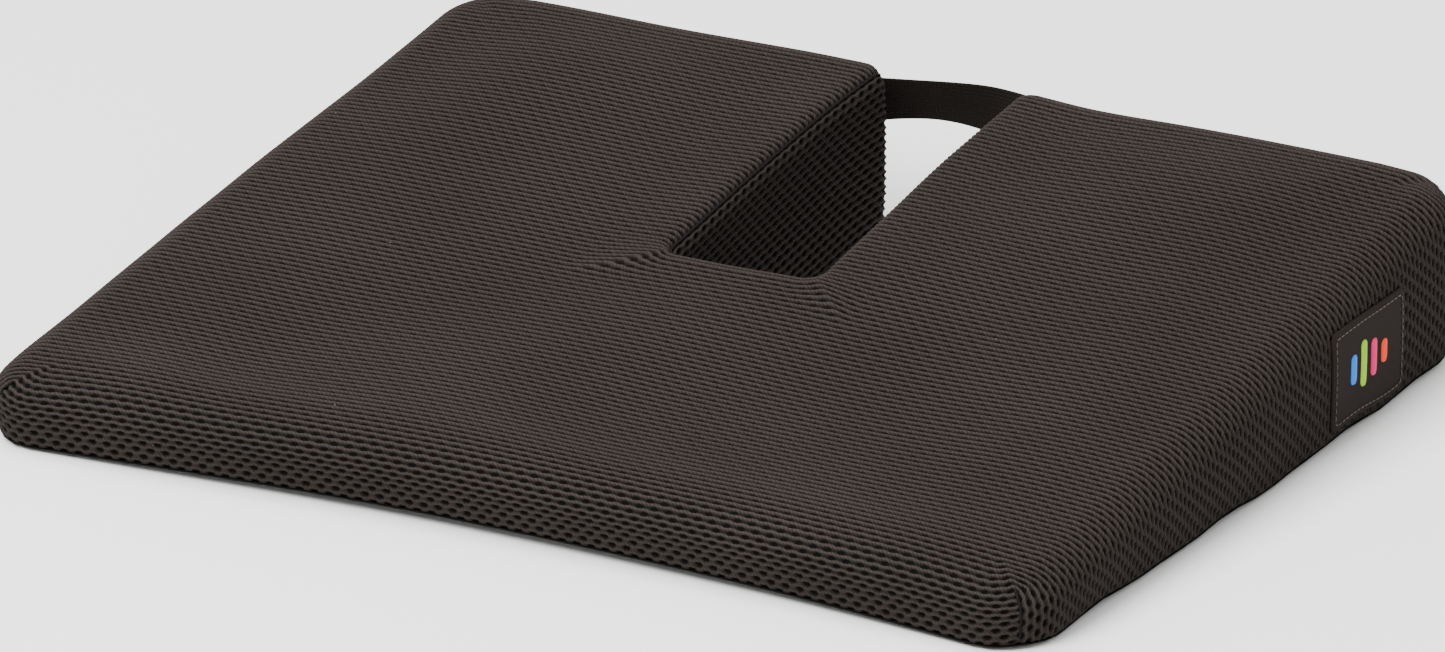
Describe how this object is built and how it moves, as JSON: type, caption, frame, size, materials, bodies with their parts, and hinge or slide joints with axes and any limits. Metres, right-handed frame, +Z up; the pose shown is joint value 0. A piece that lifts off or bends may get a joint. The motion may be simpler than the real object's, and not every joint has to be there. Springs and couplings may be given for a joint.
{
  "type": "seat cushion",
  "caption": "Wedge seat cushion with a rear tailbone notch, a layered foam core, a zipped mesh cover and a webbing carry strap across the notch.",
  "frame": {"origin": "middle of the outline seen from above, carry strap included, on the surface the cushion rests on", "axes": "+X to the sitter's right, +Y from the thin front edge to the notched rear, +Z up"},
  "size_m": [0.452, 0.3718, 0.0743],
  "materials": {
    "spacer_mesh": "charcoal polyester spacer mesh",
    "non_slip_cloth": "black cloth with rubber dots",
    "firm_foam": "open-cell polyurethane foam",
    "soft_foam": "slow-recovery foam",
    "zip_tape": "woven polyester tape",
    "zip_nylon": "nylon monofilament",
    "zip_metal": "black lacquered zinc",
    "webbing": "black woven polypropylene webbing",
    "sewing_thread": "bonded nylon thread",
    "label_cloth": "smooth woven twill",
    "label_thread": "edge stitching",
    "thread_blue": "rayon satin stitch",
    "thread_green": "rayon satin stitch",
    "thread_pink": "rayon satin stitch",
    "thread_orange": "rayon satin stitch"
  },
  "bodies": {
    "cushion": {"cover_top": "spacer_mesh", "rear_band_left": "spacer_mesh", "rear_band_right": "spacer_mesh", "notch_gusset": "spacer_mesh", "base_panel_front": "non_slip_cloth", "base_panel_rear": "non_slip_cloth", "foam_wedge": "firm_foam", "comfort_foam": "soft_foam", "zip_tape_front": "zip_tape", "zip_tape_rear": "zip_tape", "zip_coil_front": "zip_nylon", "zip_coil_rear": "zip_nylon", "zip_stop_left": "zip_metal", "zip_stop_right": "zip_metal", "strap_tail_left": "webbing", "strap_tail_right": "webbing", "bar_tack_left_inner": "sewing_thread", "bar_tack_left_outer": "sewing_thread", "bar_tack_right_inner": "sewing_thread", "bar_tack_right_outer": "sewing_thread", "label_patch": "label_cloth", "label_stitching": "label_thread", "motif_bar_blue": "thread_blue", "motif_bar_green": "thread_green", "motif_bar_pink": "thread_pink", "motif_bar_orange": "thread_orange"},
    "slider": {"zip_slider": "zip_metal"},
    "pull": {"zip_pull": "zip_metal"},
    "strap": {"strap_loop": "webbing"}
  },
  "joints": [
    {"name": "zip_travel", "type": "slide", "parent": "cushion", "child": "slider", "axis": [-1, 0, 0], "range_m": [0, 0.352]},
    {"name": "pull_swing", "type": "hinge", "parent": "slider", "child": "pull", "pos_m": [0.1852, -0.0709, 0.002], "axis": [0, -1, 0], "range_deg": [0, 150]},
    {"name": "strap_flex", "type": "hinge", "parent": "cushion", "child": "strap", "pos_m": [0, 0.1703, 0.048], "axis": [1, 0, 0], "range_deg": [-20, 20], "stiffness_Nm_per_rad": 0.03}
  ]
}
